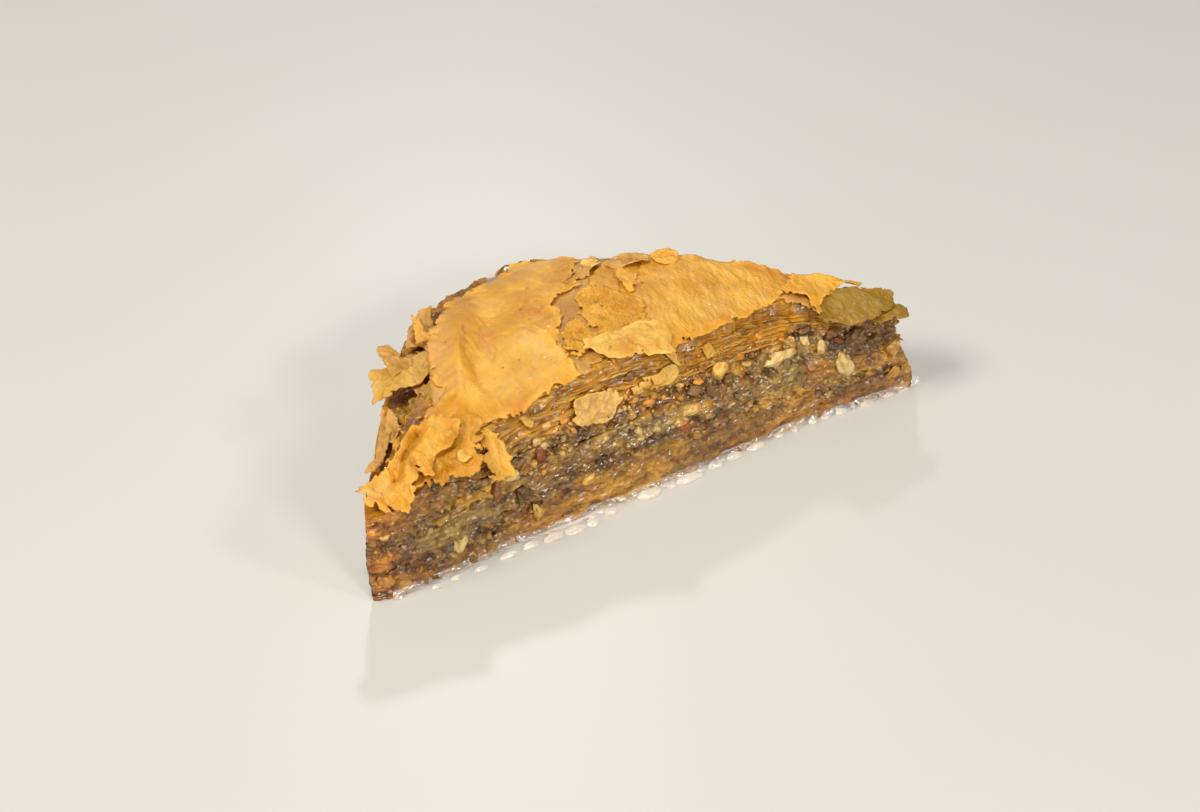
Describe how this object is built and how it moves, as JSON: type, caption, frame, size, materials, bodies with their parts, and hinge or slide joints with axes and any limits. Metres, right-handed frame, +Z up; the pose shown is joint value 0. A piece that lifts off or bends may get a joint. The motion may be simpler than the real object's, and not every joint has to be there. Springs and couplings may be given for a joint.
{
  "type": "baklava piece",
  "caption": "Triangular baklava piece with a long cut face: filo layers, walnut bands and a domed, flaky golden crust.",
  "frame": {"origin": "centre of the bounding box on the plate that the piece lies on", "axes": "+X along the long cut face from its left corner to its right one, -Y out of the cut face, +Z up"},
  "size_m": [0.1324, 0.0694, 0.0308],
  "materials": {
    "baked_crust": "thin golden leaves of baked filo, brushed with butter and syrup, satin with glossy patches",
    "syrup_pastry": "filo leaves soaked in syrup, translucent amber to pale grey-green, wet gloss",
    "walnut_filling": "chopped walnut in syrup, dark brown with cream cut faces, wet gloss",
    "syrup": "thin clear sugar syrup, pale amber, high gloss"
  },
  "bodies": {
    "root": {"base_pastry": "syrup_pastry", "lower_walnut_filling": "walnut_filling", "middle_pastry": "syrup_pastry", "upper_walnut_filling": "walnut_filling", "top_pastry": "baked_crust", "loose_leaf_large": "baked_crust", "loose_leaf_small": "baked_crust"}
  },
  "joints": []
}
